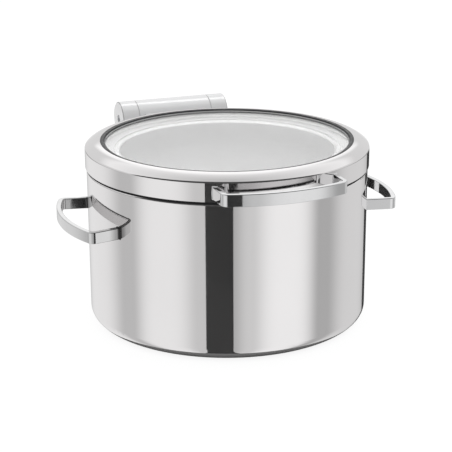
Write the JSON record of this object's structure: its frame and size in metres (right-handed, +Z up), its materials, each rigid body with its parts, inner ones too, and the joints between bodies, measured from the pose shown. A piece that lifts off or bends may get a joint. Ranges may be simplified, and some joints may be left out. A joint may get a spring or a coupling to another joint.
{
  "type": "soup kettle",
  "caption": "Round polished steel soup kettle with a drop-in inset, bar handles and a hinged lid with a clear glass panel.",
  "frame": {"origin": "middle of the base plate's underside, where the kettle stands", "axes": "+Z up, +Y towards the lid hinge, -Y towards the lid handle, side handles along X"},
  "size_m": [0.4382, 0.463, 0.2354],
  "materials": {
    "polished_steel": "mirror polished stainless steel",
    "satin_steel": "fine satin stainless steel",
    "inset_steel": "matt blasted stainless steel",
    "plain_steel": "plain fasteners and plates",
    "damper_metal": "machined",
    "clear_glass": "clear toughened",
    "dark_silicone": "matt",
    "pale_silicone": "matt"
  },
  "bodies": {
    "kettle": {"kettle_shell": "polished_steel", "base_plate": "satin_steel", "deck_ring": "inset_steel", "soup_inset": "inset_steel", "left_handle": "polished_steel", "right_handle": "polished_steel", "hinge_bracket": "satin_steel", "bracket_backing": "plain_steel", "bracket_screws": "plain_steel", "hinge_cap_left": "satin_steel", "hinge_cap_right": "satin_steel", "cap_screws": "plain_steel", "damper_shaft_left": "plain_steel", "damper_shaft_right": "plain_steel"},
    "lid": {"lid_ring": "polished_steel", "lid_glass": "clear_glass", "glass_gasket": "dark_silicone", "glass_retainer": "plain_steel", "retainer_studs": "plain_steel", "retainer_nuts": "plain_steel", "lid_seal": "pale_silicone", "lid_handle": "polished_steel", "hinge_barrel": "satin_steel", "arm_plate": "plain_steel", "arm_screws": "plain_steel", "damper_left": "damper_metal", "damper_right": "damper_metal"}
  },
  "joints": [
    {"name": "lid_hinge", "type": "hinge", "parent": "kettle", "child": "lid", "pos_m": [0, 0.227, 0.211], "axis": [-1, 0, 0], "range_deg": [0, 90]}
  ]
}
